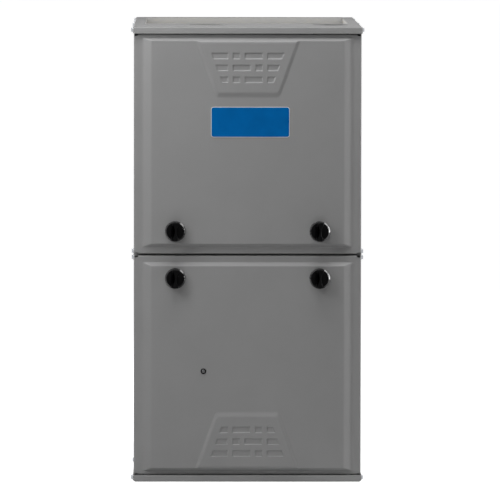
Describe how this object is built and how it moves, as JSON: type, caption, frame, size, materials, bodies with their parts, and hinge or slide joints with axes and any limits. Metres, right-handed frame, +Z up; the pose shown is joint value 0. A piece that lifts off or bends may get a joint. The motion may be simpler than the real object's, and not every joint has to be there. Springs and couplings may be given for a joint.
{
  "type": "forced air gas furnace",
  "caption": "Upright grey steel gas furnace cabinet with two lift-off doors on quarter-turn knobs, holding burners, heat exchangers, draught fan and blower.",
  "frame": {"origin": "on the floor under the middle of the object's bounding box", "axes": "+X to the right of someone facing the doors, doors face -Y, +Z up"},
  "size_m": [0.455, 0.7714, 0.889],
  "materials": {
    "cabinet_paint": "satin grey enamel over steel",
    "galvanized": "zinc coated sheet",
    "aluminized": "aluminized sheet",
    "stainless": "stainless steel",
    "zinc_screw": "zinc plated",
    "cast_aluminium": "die cast",
    "black_pipe": "black iron pipe",
    "ceramic": "fired ceramic",
    "black_plastic": "moulded",
    "black_gloss": "moulded gloss",
    "red_plastic": "moulded",
    "white_plastic": "moulded",
    "blue_plate": "printed plate, blank",
    "black_rubber": "moulded rubber",
    "clear_rubber": "silicone",
    "foam": "closed cell foam",
    "insulation": "glass fibre blanket with foil face",
    "foil": "foil faced blanket",
    "board_green": "circuit board",
    "motor_paint": "motor enamel",
    "trap_plastic": "moulded"
  },
  "bodies": {
    "cabinet": {"casing_wrapper": "cabinet_paint", "top_plate": "cabinet_paint", "base_tray": "cabinet_paint", "bottom_closure": "galvanized", "blower_shelf": "galvanized", "mid_rail": "cabinet_paint", "vest_panel": "aluminized", "casing_insulation": "insulation", "door_seal": "foam", "cabinet_screws": "zinc_screw", "knockout_plugs": "cabinet_paint", "burner_box": "aluminized", "burners": "aluminized", "gas_manifold": "black_pipe", "gas_valve": "cast_aluminium", "hot_surface_igniter": "ceramic", "flame_sensor": "ceramic", "rollout_switches": "black_plastic", "limit_switch": "black_plastic", "primary_tubes": "aluminized", "coupling_box": "stainless", "coil_tubes": "stainless", "coil_fins": "aluminized", "collector_box": "black_plastic", "inducer_housing": "black_plastic", "inducer_motor": "motor_paint", "vent_pipe": "white_plastic", "vent_coupling": "black_rubber", "air_collar": "white_plastic", "pressure_switch": "black_plastic", "pressure_tubes": "clear_rubber", "condensate_trap": "trap_plastic", "drain_hose": "black_rubber", "blower_housing": "galvanized", "blower_motor": "motor_paint", "motor_mount": "galvanized", "control_box": "galvanized", "control_board": "board_green", "transformer": "motor_paint", "door_switch": "black_plastic", "junction_box": "galvanized", "wiring_harness": "black_rubber"},
    "upper_door": {"upper_door": "cabinet_paint", "name_plate": "blue_plate"},
    "lower_door": {"lower_door": "cabinet_paint", "door_liner": "foil", "sight_glass": "black_plastic"},
    "knob_upper_left": {"knob_upper_left": "black_gloss"},
    "knob_upper_right": {"knob_upper_right": "black_gloss"},
    "knob_lower_left": {"knob_lower_left": "black_gloss"},
    "knob_lower_right": {"knob_lower_right": "black_gloss"},
    "blower": {"blower_wheel": "galvanized", "blower_shaft": "stainless"},
    "inducer": {"inducer_wheel": "black_plastic", "inducer_fan": "black_plastic"},
    "gas_valve_switch": {"gas_valve_switch": "red_plastic"},
    "door_switch_plunger": {"door_switch_plunger": "white_plastic"},
    "rollout_button_left": {"rollout_button_left": "red_plastic"},
    "rollout_button_right": {"rollout_button_right": "red_plastic"}
  },
  "joints": [
    {"name": "upper_door_lift_off", "type": "slide", "parent": "cabinet", "child": "upper_door", "axis": [0, -1, 0], "range_m": [0, 0.3]},
    {"name": "lower_door_lift_off", "type": "slide", "parent": "cabinet", "child": "lower_door", "axis": [0, -1, 0], "range_m": [0, 0.3]},
    {"name": "knob_upper_left_turn", "type": "hinge", "parent": "upper_door", "child": "knob_upper_left", "pos_m": [-0.141, -0.36365, 0.4905], "axis": [0, 1, 0], "range_deg": [0, 90]},
    {"name": "knob_upper_right_turn", "type": "hinge", "parent": "upper_door", "child": "knob_upper_right", "pos_m": [0.141, -0.36365, 0.4905], "axis": [0, 1, 0], "range_deg": [0, 90]},
    {"name": "knob_lower_left_turn", "type": "hinge", "parent": "lower_door", "child": "knob_lower_left", "pos_m": [-0.141, -0.36365, 0.3985], "axis": [0, 1, 0], "range_deg": [0, 90]},
    {"name": "knob_lower_right_turn", "type": "hinge", "parent": "lower_door", "child": "knob_lower_right", "pos_m": [0.141, -0.36365, 0.3985], "axis": [0, 1, 0], "range_deg": [0, 90]},
    {"name": "blower_spin", "type": "hinge", "parent": "cabinet", "child": "blower", "pos_m": [0, 0.01035, 0.205], "axis": [1, 0, 0], "continuous": true},
    {"name": "inducer_spin", "type": "hinge", "parent": "cabinet", "child": "inducer", "pos_m": [0.11, -0.22165, 0.53], "axis": [0, 1, 0], "continuous": true},
    {"name": "gas_valve_switch_slide", "type": "slide", "parent": "cabinet", "child": "gas_valve_switch", "axis": [1, 0, 0], "range_m": [0, 0.008]},
    {"name": "door_switch_plunger_travel", "type": "slide", "parent": "cabinet", "child": "door_switch_plunger", "axis": [0, -1, 0], "range_m": [0, 0.006]},
    {"name": "rollout_button_left_press", "type": "slide", "parent": "cabinet", "child": "rollout_button_left", "axis": [0, 0, -1], "range_m": [0, 0.0015], "stiffness_N_per_m": 400},
    {"name": "rollout_button_right_press", "type": "slide", "parent": "cabinet", "child": "rollout_button_right", "axis": [0, 0, -1], "range_m": [0, 0.0015], "stiffness_N_per_m": 400}
  ],
  "couplings": [
    {"joint": "door_switch_plunger_travel", "follows": "lower_door_lift_off", "ratio": 0.02}
  ]
}
